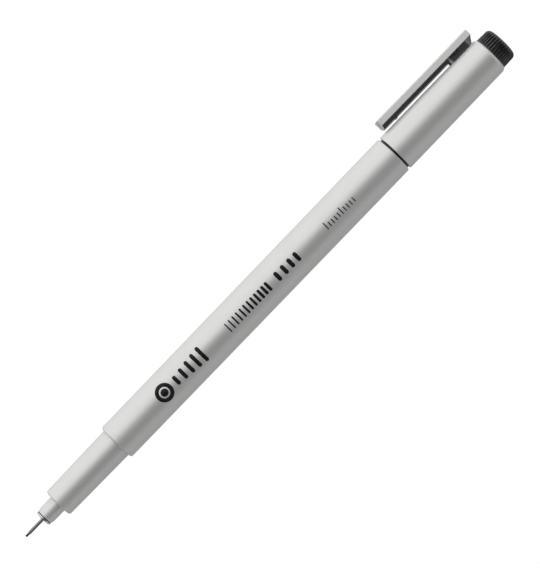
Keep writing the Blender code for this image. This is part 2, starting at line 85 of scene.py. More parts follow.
# Studio: light by direction round the pen, in degrees from overhead and positive towards the clip side
STUDIO = [
    (-180.0, 0.63),
    (-130.0, 0.46),
    (-95.0, 0.505),
    (-65.0, 0.625),
    (-45.0, 0.5),
    (-25.0, 0.165),
    (-12.0, 0.075),
    (5.0, 0.055),
    (18.0, 0.16),
    (30.0, 0.62),
    (42.0, 1.22),
    (60.0, 1.38),
    (95.0, 1.22),
    (135.0, 0.99),
    (165.0, 0.72),
    (180.0, 0.63),
]
STUDIO_NIB_END = 0.1
STUDIO_CAP_END = 0.8
STUDIO_ENDS_START = 0.7
STUDIO_ENDS_FULL = 1.0
FLOOR_HALF_SIZE = 1.5
FLOOR_BRIGHTNESS = 1.02

# Barrel and grip
BARREL_TAPER = 0.15
BARREL_WALL = 0.86
BARREL_FRONT_FILLET = 0.65
BARREL_REAR_FILLET = 0.34
BARREL_REAR_EXTRA = 0.1
GRIP_FRONT_RADIUS = 3.84
GRIP_FRONT_FILLET = 0.55
GRIP_CHAMBER = 3.2
GRIP_THROAT_REAR = 17.5
GRIP_THROAT_CLEARANCE = 0.08
GRIP_THROAT_FILLET = 0.12

# Nib group
HOLDER_RIM = 2.02
HOLDER_RIM_FILLET = 0.08
HOLDER_CHAMFER_REAR = 7.15
HOLDER_CHAMFER_FILLET = 0.3
HOLDER_TAPER = 0.04
HOLDER_STEP = 16.5
HOLDER_STEP_DEPTH = 0.54
HOLDER_REAR_FILLET = 0.2
HOLDER_BORE = 1.3
HOLDER_BORE_FILLET = 0.05
HOLDER_BORE_REAR = 8.9
HOLDER_CORE_HOLE = 0.5
HOLDER_SOCKET = 1.0
HOLDER_SOCKET_FRONT = 12.0
FERRULE_GAP = 0.2
FERRULE_SWELL = 0.1
FERRULE_SHANK = 1.2
FERRULE_FRONT_FILLET = 0.45
FERRULE_DISH = 1.15
FERRULE_DISH_FLOOR = 0.8
FERRULE_DISH_FILLET = 0.06
FERRULE_DISH_DEPTH = 0.14
FERRULE_CLEARANCE = 0.02
# A black washer fills the ferrule's gap as painted shade
WASHER_RADIUS = 1.98
WASHER_BORE = 1.25
WASHER_CLEARANCE = 0.01
SHEATH_BORE = 0.3
SHEATH_BORE_FILLET = 0.01
SHEATH_TAPER = 0.05
SHEATH_TAPER_LENGTH = 0.7
SHEATH_TAPER_FILLET = 0.3
NIB_REAR_FILLET = 0.05
NIB_TIP_FILLET = 0.14

# Tail plug
TAIL_SPIGOT = 4.02
TAIL_SPIGOT_FILLET = 0.5
TAIL_FRONT_FILLET = 0.3
TAIL_HOLLOW = 3.1
TAIL_END_WALL = 1.2
TAIL_BEAD = 131.5
TAIL_BEAD_RISE = 0.06
TAIL_BEAD_TOP_HALF = 0.2
TAIL_BEAD_HALF = 0.5
TAIL_BEAD_FILLET = 0.2
TAIL_FLANGE_CAP_GAP = 0.1
TAIL_FLANGE_BARREL_GAP = 0.05

# Cap and crown
CAP_BORE = 4.12
CAP_BORE_FILLET = 0.15
CAP_MOUTH_FILLET = 0.2
CAP_TAPER = 0.05
CAP_SHOULDER_DROP = 0.42
CAP_SHOULDER_LENGTH = 0.65
CAP_SHOULDER_FILLET = 0.75
CAP_REAR_FILLET = 0.15
LINER_RADIUS = 3.2
LINER_BORE = 2.45
LINER_LIP_LENGTH = 1.5
LINER_END_WALL = 0.8
LINER_END_FILLET = 0.4
LINER_FILLET = 0.3
LINER_STEP_FILLET = 0.2
CROWN_REAR_RADIUS = 4.38
CROWN_REAR_EXTRA = 0.08
CROWN_FRONT_GAP = 0.1
CROWN_FILLET = 1.1
CROWN_RIM_FILLET = 0.06
CROWN_SKIRT_CLEARANCE = 0.08
CROWN_SKIRT_FILLET = 0.2
CROWN_SKIRT_BORE = 3.5
CROWN_DIMPLE_RADIUS = 0.6
CROWN_DIMPLE_SLOPE = 0.1
CROWN_DIMPLE_DEPTH = 0.08
CROWN_DIMPLE_FILLET = 0.05
RIB_COUNT = 36
RIB_SEGMENTS = 14
RIB_STATIONS = 24
RIB_PHASE = math.radians(71.9)
RIB_DEPTH = 0.36
RIB_GROOVE_HALF_SHARE = 0.34
RIB_START = 0.2
RIB_RUN_IN = 0.15

# Clip
PLAN_STEPS = 12
LEVEL_STEP = 0.3
BAR_STEP = 0.6
TIP_ROUND_MARGIN = 0.03
COVER_HEEL_RADIUS = 0.28
COVER_LOWER_EDGE = 0.06
COVER_UPPER_EDGE = 0.3
COVER_CORE_GAP = 0.04
COVER_DEEPER_TIP = 0.05
COVER_DEEPER_HEEL = 0.16
COVER_LIP = 0.75
COVER_TIP_TRIM = 0.1
COVER_HEEL_EXTRA = 0.08
COVER_FADE = 0.8
COVER_BOW = 0.29
COVER_BOW_LOWEST = 0.62
CORE_UNDERSIDE = 5.62
CORE_LOWER_EDGE = 0.14
CORE_UPPER_EDGE = 0.02
CORE_IN_COVER = 0.08
CORE_LIP = 0.75
CORE_HEEL_RADIUS = 0.3
CORE_IN_FOOT = 4.0
CORE_NUB_STATION = 6.15
CORE_NUB_HALF = 0.58
CORE_NUB_DEPTH = 0.19
CORE_NUB_FADE = 0.5
CORE_NUB_MARGIN = 0.1
CORE_NUB_STEP = 0.07
FOOT_STEP = 0.3
FOOT_FRONT_RADIUS = 0.5
FOOT_HEEL_RADIUS = 1.0
FOOT_BLOCK_FILLET = 0.05
FOOT_IN_COVER = 0.35
FOOT_HEEL = 31.08
FOOT_BASE = 4.45
FOOT_LEAN_HEIGHT = 4.95
FOOT_HEEL_TOP = 32.27
FOOT_FRONT_TRIM = 0.27
# Painted highlights on the foot: an upright pale strip near each end, and a paler heel
FOOT_HIGHLIGHT_STATIONS = (24.49, 30.55)
FOOT_HIGHLIGHT_WIDTH = 0.42
FOOT_HEEL_HIGHLIGHT = 0.75
FOOT_FLARE = 0.4
FOOT_FLARE_TOP = 4.95

# Print: a ring and dot, line-weight bars and strokes, and a short scale, in stations on the barrel
PRINT_PROUD = 0.012
PRINT_SUNK = 0.05
PRINT_MARGIN = 1.0
STAMP_LOW = 2.0
STAMP_HIGH = 7.0
RING_STATION = 47.0
RING_OUTER = 2.3
RING_INNER = 1.35
RING_DOT = 0.95
BOLD_BARS = ((51.0, 2.6), (53.2, 3.1), (55.35, 3.5), (57.45, 3.95), (59.5, 4.4))
BOLD_WIDTH = 0.95
BAR_ROUNDNESS = 0.999
STROKES_START = 68.2
STROKES_STEP = 1.22
STROKES_COUNT = 12
STROKE_THIN = 0.32
STROKE_GROWTH = 0.042
STROKE_HEIGHT = 2.6
STROKE_MIDDLE = -0.2
HEAVY_STROKES = (84.9, 87.1, 89.25, 91.3)
HEAVY_WIDTH = 1.02
SCALE_START = 101.0
SCALE_TICKS = 10
SCALE_TALL_EVERY = 5
SCALE_STEP = 1.0
SCALE_LINE = 0.28
SCALE_TALL = 2.0
SCALE_SHORT = 1.3
SCALE_BASE = -1.15

# Finishes
BLACK_ROUGHNESS = 0.28
BLACK_LEAST_WORN = 0.2
# Least strength of the foot's painted highlight
FOOT_LEAST_HIGHLIGHT = 0.6
CROWN_ROUGHNESS = 0.3
# Least strength of the painted highlight on the crown's rib tops
CROWN_LEAST_HIGHLIGHT = 0.7
CROWN_SHEEN = 0.6
STEEL_TONE = 0.72
STEEL_ROUGHNESS = 0.02
# Painted shade: the sheath's steel is toned far darker than the ferrule's, so that its reflection reads
# dark
TUBE_SHADED_TONE = 0.24
TUBE_ROUGHNESS = 0.04

# Colours
WHITE = (1.0, 1.0, 1.0, 1.0)
SILVER_DARK = (0.645, 0.645, 0.637, 1.0)
SILVER_LIGHT = (0.755, 0.755, 0.747, 1.0)
SILVER_RUBBED = (0.9, 0.9, 0.89, 1.0)
BLACK_DARK = (0.003, 0.003, 0.003, 1.0)
BLACK_LIGHT = (0.008, 0.008, 0.008, 1.0)
EDGE_DARK = (0.035, 0.035, 0.035, 1.0)
# Painted highlight colour on the crown's rib tops
RIB_TOP_HIGHLIGHT = (0.07, 0.07, 0.07, 1.0)
# Painted highlight colour for the foot's strips and heel
FOOT_HIGHLIGHT = (0.26, 0.26, 0.257, 1.0)
NIB_WET = (0.008, 0.008, 0.01, 1.0)
NIB_RUBBED = (0.05, 0.05, 0.055, 1.0)
FIBRE_INKED = (0.012, 0.012, 0.016, 1.0)
FIBRE_PALE = (0.1, 0.1, 0.11, 1.0)
FILM_CLOUDED = (0.3, 0.32, 0.34, 1.0)
FILM_CLEAR = (0.6, 0.62, 0.64, 1.0)
MILKY_DARK = (0.68, 0.68, 0.65, 1.0)
MILKY_LIGHT = (0.84, 0.84, 0.81, 1.0)
INK_FULL = (0.004, 0.004, 0.004, 1.0)
INK_THIN = (0.014, 0.014, 0.014, 1.0)


BARREL_LOW, BARREL_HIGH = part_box("barrel_tube")
AXIS = Vector((0.0, (BARREL_LOW.y + BARREL_HIGH.y) / 2.0, (BARREL_LOW.z + BARREL_HIGH.z) / 2.0))
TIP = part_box("nib_core")[0].x


def station(millimetres):
    """The X of a barrel station."""
    return TIP + millimetres * MM


def view_axes():
    """The picture's right, the direction across the pen in the picture, and the way to the camera."""
    to_camera = Vector((0.0, math.cos(CAMERA_ELEVATION), math.sin(CAMERA_ELEVATION)))
    across = to_camera.cross(ALONG)
    right = ALONG * math.cos(PEN_SLOPE) - across * math.sin(PEN_SLOPE)
    return right, across, to_camera


def make_camera():
    right, across, to_camera = view_axes()
    aim = AXIS + ALONG * station(AIM_STATION) - across * AIM_SIDEWAYS * MM
    place = AXIS + ALONG * station(CAMERA_STATION) - across * AIM_SIDEWAYS * MM
    place += to_camera * CAMERA_DISTANCE * MM
    back = (place - aim).normalized()
    level_right = (right - back * right.dot(back)).normalized()
    level_up = back.cross(level_right)
    turn = Matrix((level_right, level_up, back)).transposed()
    data = bpy.data.cameras.new("camera")
    data.sensor_width = SENSOR
    data.lens = SENSOR * CAMERA_DISTANCE / (IMAGE_LONG_SIDE * MM_PER_PIXEL)
    camera = bpy.data.objects.new("camera", data)
    camera.matrix_world = Matrix.Translation(place) @ turn.to_4x4()
    bpy.context.scene.collection.objects.link(camera)
    bpy.context.scene.camera = camera
    bpy.context.scene.view_settings.view_transform = "Standard"


def node(tree, kind, settings=None, **sockets):
    """A shader node with its settings, and with its sockets set to a value or joined to an output."""
    made = tree.nodes.new("ShaderNode" + kind)
    for name, value in (settings or {}).items():
        setattr(made, name, value)
    for name, value in sockets.items():
        socket = made.inputs[name.replace("_", " ")]
        join(tree, value, socket)
    return made


def join(tree, value, socket):
    """Links a socket to another node's output, or sets it to a value."""
    if isinstance(value, bpy.types.NodeSocket):
        tree.links.new(value, socket)
    else:
        socket.default_value = value


def arithmetic(tree, operation, first, second=0.0):
    made = tree.nodes.new("ShaderNodeMath")
    made.operation = operation
    join(tree, first, made.inputs[0])
    join(tree, second, made.inputs[1])
    return made.outputs[0]


def make_studio():
    """A soft studio: a broad light on the clip side, a dim ceiling, and a pale wall on the other side."""
    world = bpy.data.worlds.new("studio")
    bpy.context.scene.world = world
    world.use_nodes = True
    tree = world.node_tree
    tree.nodes.clear()
    direction = node(tree, "TexCoord").outputs["Generated"]
    parts = node(tree, "SeparateXYZ", Vector=direction)
    angle = arithmetic(tree, "ARCTAN2", parts.outputs["Y"], parts.outputs["Z"])
    turn = node(tree, "MapRange", Value=angle)
    turn.inputs["From Min"].default_value = -math.pi
    turn.inputs["From Max"].default_value = math.pi
    ramp = node(tree, "ValToRGB", Fac=turn.outputs["Result"])
    stops = ramp.color_ramp.elements
    while len(stops) < len(STUDIO):
        stops.new(0.5)
    for stop, (degrees, level) in zip(stops, STUDIO):
        stop.position = (degrees + 180.0) / 360.0
        stop.color = (level, level, level, 1.0)
    length = arithmetic(tree, "ABSOLUTE", parts.outputs["X"])
    ends = node(tree, "MapRange", {"interpolation_type": "SMOOTHSTEP"}, Value=length)
    ends.inputs["From Min"].default_value = STUDIO_ENDS_START
    ends.inputs["From Max"].default_value = STUDIO_ENDS_FULL
    light = node(tree, "Mix", {"data_type": "FLOAT"}, Factor=ends.outputs["Result"])
    join(tree, ramp.outputs["Color"], light.inputs["A"])
    far_end = between(tree, parts.outputs["X"], STUDIO_NIB_END, STUDIO_CAP_END, -1.0, 1.0)
    join(tree, far_end, light.inputs["B"])
    seen = node(tree, "LightPath").outputs["Is Camera Ray"]
    studio = node(tree, "Background", Color=light.outputs["Result"])
    backdrop = node(tree, "Background", Strength=FLOOR_BRIGHTNESS)
    backdrop.inputs["Color"].default_value = WHITE
    both = node(tree, "MixShader", Fac=seen)
    tree.links.new(studio.outputs[0], both.inputs[1])
    tree.links.new(backdrop.outputs[0], both.inputs[2])
    output = node(tree, "OutputWorld")
    tree.links.new(both.outputs[0], output.inputs["Surface"])


def make_floor():
    """The white table. It shines evenly, and it neither lights nor shades the pen."""
    mesh = bpy.data.meshes.new("floor")
    build = bmesh.new()
    bmesh.ops.create_grid(build, x_segments=4, y_segments=4, size=FLOOR_HALF_SIZE)
    build.to_mesh(mesh)
    build.free()
    floor = bpy.data.objects.new("floor", mesh)
    bpy.context.scene.collection.objects.link(floor)
    material = bpy.data.materials.new("white_table")
    material.use_nodes = True
    tree = material.node_tree
    tree.nodes.clear()
    glow = node(tree, "Emission", Strength=FLOOR_BRIGHTNESS)
    glow.inputs["Color"].default_value = WHITE
    output = node(tree, "OutputMaterial")
    tree.links.new(glow.outputs[0], output.inputs["Surface"])
    mesh.materials.append(material)
    floor.visible_diffuse = False
    floor.visible_glossy = False
    floor.visible_shadow = False


# ---------------------------------------------------------------- meshing


def bend_reach(corners, index, closed):
    """How much of its two sides a corner's fillet takes up."""
    if not closed and index in (0, len(corners) - 1):
        return 0.0
    corner = Vector(corners[index][:2])
    before = (Vector(corners[index - 1][:2]) - corner).normalized()
    after = (Vector(corners[(index + 1) % len(corners)][:2]) - corner).normalized()
    return corners[index][2] / math.tan(before.angle(after) / 2.0)


def arc_points(corner, before, after, radius, reach):
    """The fillet's points with their wear and highlight mark, which is strongest at its middle."""
    start = corner + before * reach
    end = corner + after * reach
    centre = corner + (before + after).normalized() * radius / math.sin(before.angle(after) / 2.0)
    first = start - centre
    last = end - centre
    sweep = first.angle(last)
    points = []
    for step in range(ARC_STEPS + 1):
        share = step / ARC_STEPS
        spoke = first * math.sin((1.0 - share) * sweep) + last * math.sin(share * sweep)
        point = centre + spoke / math.sin(sweep)
        points.append((point.x, point.y, math.sin(math.pi * share)))
    return points


def outline(corners, closed):
    """Points (along, out, wear_and_highlight) of an outline given by (along, out, fillet) corners.

    Each fillet is an arc. A support point beside each bend keeps the long sides' shading straight.
    """
    points = []
    count = len(corners)
    reaches = [bend_reach(corners, index, closed) for index in range(count)]
    for index, (along, out, fillet) in enumerate(corners):
        if not closed and index in (0, count - 1):
            points.append((along, out, 0.0))
            continue
        corner = Vector((along, out))
        sides = []
        for other in (index - 1, (index + 1) % count):
            side = Vector(corners[other][:2]) - corner
            free = side.length - reaches[other] - reaches[index]
            sides.append((side.normalized(), free > 3.0 * SUPPORT))
        (before, room_before), (after, room_after) = sides
        reach = reaches[index]
        if room_before:
            support = corner + before * (reach + SUPPORT)
            points.append((support.x, support.y, 0.0))
        if fillet > 0.0:
            points.extend(arc_points(corner, before, after, fillet, reach))
        else:
            points.append((along, out, 1.0))
        if room_after:
            support = corner + after * (reach + SUPPORT)
            points.append((support.x, support.y, 0.0))
    return points


def mesh_object(name, build):
    """The finished object of a mesh under construction, smooth except where it bends sharply."""
    bmesh.ops.recalc_face_normals(build, faces=build.faces)
    mesh = bpy.data.meshes.new(name)
    build.to_mesh(mesh)
    build.free()
    mesh.shade_smooth()
    mesh.set_sharp_from_angle(angle=SHARP_ANGLE)
    piece = bpy.data.objects.new(name, mesh)
    bpy.context.scene.collection.objects.link(piece)
    return piece


def ring_of(build, wear_and_highlight_layer, x, radius, wear_and_highlight, segments):
    """A ring of points round the pen's axis, or one point on it. Lengths are in millimetres."""
    count = segments if radius > 0.0 else 1
    ring = []
    for index in range(count):
        angle = 2.0 * math.pi * index / segments
        y = AXIS.y + radius * MM * math.cos(angle)
        z = AXIS.z + radius * MM * math.sin(angle)
        vert = build.verts.new((station(x), y, z))
        vert[wear_and_highlight_layer] = wear_and_highlight
        ring.append(vert)
    return ring


def stitch(build, first, second):
    """Faces between two rings, either of which may be one point."""
    count = max(len(first), len(second))
    for index in range(count):
        after = (index + 1) % count
        corners = [
            first[index % len(first)],
            first[after % len(first)],
            second[after % len(second)],
            second[index % len(second)],
        ]
        build.faces.new(list(dict.fromkeys(corners)))


def turned(name, corners, segments=SEGMENTS):
    """A turned piece from (station, radius, fillet) corners. It is hollow unless it starts on the axis."""
    closed = corners[0][1] > 0.0
    build = bmesh.new()
    wear_and_highlight_layer = build.verts.layers.float.new("wear_and_highlight")
    rings = []
    for x, radius, wear_and_highlight in outline(corners, closed):
        rings.append(ring_of(build, wear_and_highlight_layer, x, radius, wear_and_highlight, segments))
    for first, second in zip(rings, rings[1:]):
        stitch(build, first, second)
    if closed:
        stitch(build, rings[-1], rings[0])
    return mesh_object(name, build)


def dress(piece, material, slot, body, *nodes):
    """Gives a piece its material, its body and the CAD nodes that it stands for. The slot is not used."""
    piece.data.materials.append(material)
    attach(piece, body)
    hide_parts(*nodes)


def span(name):
    """A turned CAD node's first station, last station and largest radius, in millimetres."""
    low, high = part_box(name)
    return (low.x - TIP) / MM, (high.x - TIP) / MM, (high.y - low.y) / 2.0 / MM


# ---------------------------------------------------------------- barrel, grip and nib


def make_barrel(material):
    front, rear, radius = span("barrel_tube")
    bore = radius - BARREL_WALL
    rear += BARREL_REAR_EXTRA
    corners = [
        (rear, radius, BARREL_REAR_FILLET),
        (front, radius - BARREL_TAPER, BARREL_FRONT_FILLET),
        (front, bore, EDGE_FILLET),
        (rear, bore, EDGE_FILLET),
    ]
    dress(turned("barrel", corners), material, "grey_plastic", "barrel", "barrel_tube")


def make_grip(material):
    front, rear, radius = span("grip_section")
    barrel_front = span("barrel_tube")[0]
    throat = span("nib_holder")[2] + GRIP_THROAT_CLEARANCE
    corners = [
        (rear, radius, EDGE_FILLET),
        (barrel_front, radius, 0.0),
        (front, GRIP_FRONT_RADIUS, GRIP_FRONT_FILLET),
        (front, throat, GRIP_THROAT_FILLET),
        (GRIP_THROAT_REAR, throat, 0.0),
        (GRIP_THROAT_REAR, GRIP_CHAMBER, 0.0),
        (rear, GRIP_CHAMBER, EDGE_FILLET),
    ]
    dress(turned("grip", corners), material, "grey_plastic", "barrel", "grip_section")


def make_holder(material):
    front, rear, radius = span("nib_holder")
    corners = [
        (rear, radius - HOLDER_STEP_DEPTH, HOLDER_REAR_FILLET),
        (HOLDER_STEP, radius - HOLDER_STEP_DEPTH, 0.0),
        (HOLDER_STEP, radius, 0.0),
        (HOLDER_CHAMFER_REAR, radius - HOLDER_TAPER, HOLDER_CHAMFER_FILLET),
        (front, HOLDER_RIM, HOLDER_RIM_FILLET),
        (front, HOLDER_BORE, HOLDER_BORE_FILLET),
        (HOLDER_BORE_REAR, HOLDER_BORE, 0.0),
        (HOLDER_BORE_REAR, HOLDER_CORE_HOLE, 0.0),
        (HOLDER_SOCKET_FRONT, HOLDER_CORE_HOLE, 0.0),
        (HOLDER_SOCKET_FRONT, HOLDER_SOCKET, 0.0),
        (rear, HOLDER_SOCKET, 0.0),
    ]
    piece = turned("holder", corners, FINE_SEGMENTS)
    dress(piece, material, "grey_plastic", "barrel", "nib_holder")


def make_ferrule(material):
    """The metal disc in front of the holder, with a shallow dish round the sheath and a shank behind."""
    front, rear, radius = span("nib_ferrule")
    disc_rear = span("nib_holder")[0] - FERRULE_GAP
    bore = span("nib_sheath")[2] + FERRULE_CLEARANCE
    corners = [
        (rear, FERRULE_SHANK, EDGE_FILLET),
        (disc_rear, FERRULE_SHANK, 0.0),
        (disc_rear, radius + FERRULE_SWELL, EDGE_FILLET),
        (front, radius + FERRULE_SWELL, FERRULE_FRONT_FILLET),
        (front, FERRULE_DISH, EDGE_FILLET),
        (front + FERRULE_DISH_DEPTH, FERRULE_DISH_FLOOR, FERRULE_DISH_FILLET),
        (front + FERRULE_DISH_DEPTH, bore, FINE_FILLET),
        (rear, bore, FINE_FILLET),
    ]
    piece = turned("ferrule", corners, FINE_SEGMENTS)
    dress(piece, material, "steel", "barrel", "nib_ferrule")


def make_shade_washer(material):
    """A black washer in the gap between the ferrule and its holder: a dark piece standing for the shade
    line there.
    """
    rear = span("nib_holder")[0] - WASHER_CLEARANCE
    front = rear - FERRULE_GAP + 2.0 * WASHER_CLEARANCE
    corners = [
        (rear, WASHER_RADIUS, FINE_FILLET),
        (front, WASHER_RADIUS, FINE_FILLET),
        (front, WASHER_BORE, 0.0),
        (rear, WASHER_BORE, 0.0),
    ]
    piece = turned("shade_washer", corners, FINE_SEGMENTS)
    piece.data.materials.append(material)
    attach(piece, "barrel")


def make_sheath(material):
    front, rear, radius = span("nib_sheath")
    corners = [
        (rear, radius, 0.0),
        (front + SHEATH_TAPER_LENGTH, radius, SHEATH_TAPER_FILLET),
        (front, radius - SHEATH_TAPER, FINE_FILLET),
        (front, SHEATH_BORE, SHEATH_BORE_FILLET),
        (rear, SHEATH_BORE, 0.0),
    ]
    piece = turned("sheath", corners, FINE_SEGMENTS)
    dress(piece, material, "steel", "barrel", "nib_sheath")


def make_nib(material):
    front, rear, radius = span("nib_core")
    corners = [
        (rear, 0.0, 0.0),
        (rear, radius, NIB_REAR_FILLET),
        (front, radius, NIB_TIP_FILLET),
        (front, 0.0, 0.0),
    ]
    piece = turned("nib", corners, FINE_SEGMENTS)
    dress(piece, material, "nib_black", "barrel", "nib_core")


def make_tail(material):
    """The plug in the barrel's rear: its flange, and the spigot that carries the cap on a low bead."""
    front, rear, flange = span("tail_plug")
    flange_front = span("barrel_tube")[1] + BARREL_REAR_EXTRA + TAIL_FLANGE_BARREL_GAP
    flange_rear = span("cap_shell")[0] - TAIL_FLANGE_CAP_GAP
    bead = TAIL_SPIGOT + TAIL_BEAD_RISE
    corners = [
        (rear, 0.0, 0.0),
        (rear, TAIL_SPIGOT, TAIL_SPIGOT_FILLET),
        (TAIL_BEAD + TAIL_BEAD_HALF, TAIL_SPIGOT, TAIL_BEAD_FILLET),
        (TAIL_BEAD + TAIL_BEAD_TOP_HALF, bead, TAIL_BEAD_FILLET),
        (TAIL_BEAD - TAIL_BEAD_TOP_HALF, bead, TAIL_BEAD_FILLET),
        (TAIL_BEAD - TAIL_BEAD_HALF, TAIL_SPIGOT, TAIL_BEAD_FILLET),
        (flange_rear, TAIL_SPIGOT, 0.0),
        (flange_rear, flange, EDGE_FILLET),
        (flange_front, flange, EDGE_FILLET),
        (flange_front, TAIL_SPIGOT, 0.0),
        (front, TAIL_SPIGOT, TAIL_FRONT_FILLET),
        (front, TAIL_HOLLOW, EDGE_FILLET),
        (rear - TAIL_END_WALL, TAIL_HOLLOW, EDGE_FILLET),
        (rear - TAIL_END_WALL, 0.0, 0.0),
    ]
    dress(turned("tail", corners), material, "black_plastic", "barrel", "tail_plug")


# ---------------------------------------------------------------- cap and crown


def make_cap(material):
    front, rear, radius = span("cap_shell")
    corners = [
        (rear, radius - CAP_SHOULDER_DROP, CAP_REAR_FILLET),
        (rear - CAP_SHOULDER_LENGTH, radius - CAP_TAPER, CAP_SHOULDER_FILLET),
        (front, radius, CAP_MOUTH_FILLET),
        (front, CAP_BORE, CAP_BORE_FILLET),
        (rear, CAP_BORE, 0.0),
    ]
    dress(turned("cap", corners), material, "grey_plastic", "cap", "cap_shell")


def make_liner(material):
    """The soft liner inside the cap, with a wider lip at its mouth."""
    front, rear, lip = span("inner_cap")
    corners = [
        (rear, 0.0, 0.0),
        (rear, LINER_RADIUS, LINER_END_FILLET),
        (front + LINER_LIP_LENGTH, LINER_RADIUS, LINER_STEP_FILLET),
        (front + LINER_LIP_LENGTH, lip, EDGE_FILLET),
        (front, lip, LINER_FILLET),
        (front, LINER_BORE, LINER_FILLET),
        (rear - LINER_END_WALL, LINER_BORE, LINER_FILLET),
        (rear - LINER_END_WALL, 0.0, 0.0),
    ]
    dress(turned("liner", corners), material, "natural_plastic", "cap", "inner_cap")


def rib_cut(angle):
    """How deep the crown's surface is cut at this angle round the axis, from 0 on a rib."""
    turn = (angle - RIB_PHASE) * RIB_COUNT / (2.0 * math.pi)
    from_groove = abs((turn % 1.0) - 0.5)
    return RIB_DEPTH * max(0.0, 1.0 - (from_groove / RIB_GROOVE_HALF_SHARE) ** 2) ** 0.5


def crown_outline(front, rear, front_radius, skirt_front):
    """The crown's outline from the middle of its end, with extra stations along its ribbed side."""
    skirt = CAP_BORE - CROWN_SKIRT_CLEARANCE
    corners = [
        (rear - CROWN_DIMPLE_DEPTH, 0.0, 0.0),
        (rear - CROWN_DIMPLE_DEPTH, CROWN_DIMPLE_RADIUS, CROWN_DIMPLE_FILLET),
        (rear, CROWN_DIMPLE_RADIUS + CROWN_DIMPLE_SLOPE, CROWN_DIMPLE_FILLET),
        (rear, CROWN_REAR_RADIUS, CROWN_FILLET),
        (front, front_radius, CROWN_RIM_FILLET),
        (front, skirt, 0.0),
        (skirt_front, skirt, CROWN_SKIRT_FILLET),
        (skirt_front, CROWN_SKIRT_BORE, EDGE_FILLET),
        (front, CROWN_SKIRT_BORE, 0.0),
        (front, 0.0, 0.0),
    ]
    plain = outline(corners, False)
    points = []
    for first, second in zip(plain, plain[1:]):
        points.append(first)
        long_side = first[1] > CAP_BORE and abs(first[0] - second[0]) > 1.0
        steps = RIB_STATIONS if long_side else 1
        for step in range(1, steps):
            share = step / steps
            points.append(tuple(a + (b - a) * share for a, b in zip(first, second)))
    points.append(plain[-1])
    return points


def make_crown(material):
    """The black end of the cap. Its rim is smooth, its side is ribbed until the rounded end, and its rib
    tops are marked for a painted highlight.
    """
    skirt_front, rear, front_radius = span("crown_plug")
    rear += CROWN_REAR_EXTRA
    front = span("cap_shell")[1] + CROWN_FRONT_GAP
    taper = (CROWN_REAR_RADIUS - front_radius) / (rear - front)
    build = bmesh.new()
    wear_and_highlight_layer = build.verts.layers.float.new("wear_and_highlight")
    segments = RIB_COUNT * RIB_SEGMENTS
    rings = []
    for x, radius, wear_and_highlight in crown_outline(front, rear, front_radius, skirt_front):
        ring = ring_of(build, wear_and_highlight_layer, x, radius, wear_and_highlight, segments)
        rings.append(ring)
        if radius < CAP_BORE:
            continue
        full = front_radius + taper * (x - front)
        start = min(1.0, max(0.0, (x - front - RIB_START) / RIB_RUN_IN))
        for index, vert in enumerate(ring):
            angle = 2.0 * math.pi * index / segments
            cut = full - rib_cut(angle) * start * (2.0 - start)
            kept = min(radius, cut)
            vert.co.y = AXIS.y + kept * MM * math.cos(angle)
            vert.co.z = AXIS.z + kept * MM * math.sin(angle)
            # Painted highlight: the tops of the ribs get the full mark, which lightens them
            vert[wear_and_highlight_layer] = 1.0 if kept == radius else 0.0
    for first, second in zip(rings, rings[1:]):
        stitch(build, first, second)
    dress(mesh_object("crown", build), material, "black_plastic", "cap", "crown_plug")


# ---------------------------------------------------------------- clip

CLIP_HINGE = next(joint for joint in frame["joints"] if joint["name"] == "clip_flex")
CLIP_SIDE = Vector(CLIP_HINGE["axis"]).normalized()
CLIP_OUT = ALONG.cross(CLIP_SIDE)
CLIP_ORIGIN = Vector((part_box("cap_shell")[0].x, AXIS.y, AXIS.z))
CLIP_TURN = Matrix((ALONG, CLIP_SIDE, CLIP_OUT)).transposed().to_4x4()
CLIP_FRAME = Matrix.Translation(CLIP_ORIGIN) @ CLIP_TURN


def clip_box(name):
    """A CAD node's lowest and highest (station, side, height) in the clip's frame, in millimetres."""
    inverse = CLIP_FRAME.inverted()
    points = [inverse @ vert.co / MM for vert in frame["nodes"][name].data.vertices]
    low = [min(point[axis] for point in points) for axis in range(3)]
    high = [max(point[axis] for point in points) for axis in range(3)]
    return low, high


CORE_LOW, CORE_HIGH = clip_box("clip_arm")
COVER_LOW, COVER_HIGH = clip_box("clip_cover")
FOOT_LOW, FOOT_HIGH = clip_box("clip_foot")


def plan_half(tip, heel, half, tip_radius, heel_radius, inset, stations):
    """One side of a bar's plan from its heel to its tip, drawn inset millimetres inside."""
    points = []
    for step in range(PLAN_STEPS + 1):
        angle = math.pi / 2.0 * step / PLAN_STEPS
        along = heel - heel_radius + (heel_radius - inset) * math.cos(angle)
        points.append((along, half - heel_radius + (heel_radius - inset) * math.sin(angle)))
    for along in stations:
        points.append((along, half - inset))
    for step in range(PLAN_STEPS + 1):
        angle = math.pi / 2.0 * (1.0 + step / PLAN_STEPS)
        along = tip + tip_radius + (tip_radius - inset) * math.cos(angle)
        points.append((along, half - tip_radius + (tip_radius - inset) * math.sin(angle)))
    return points


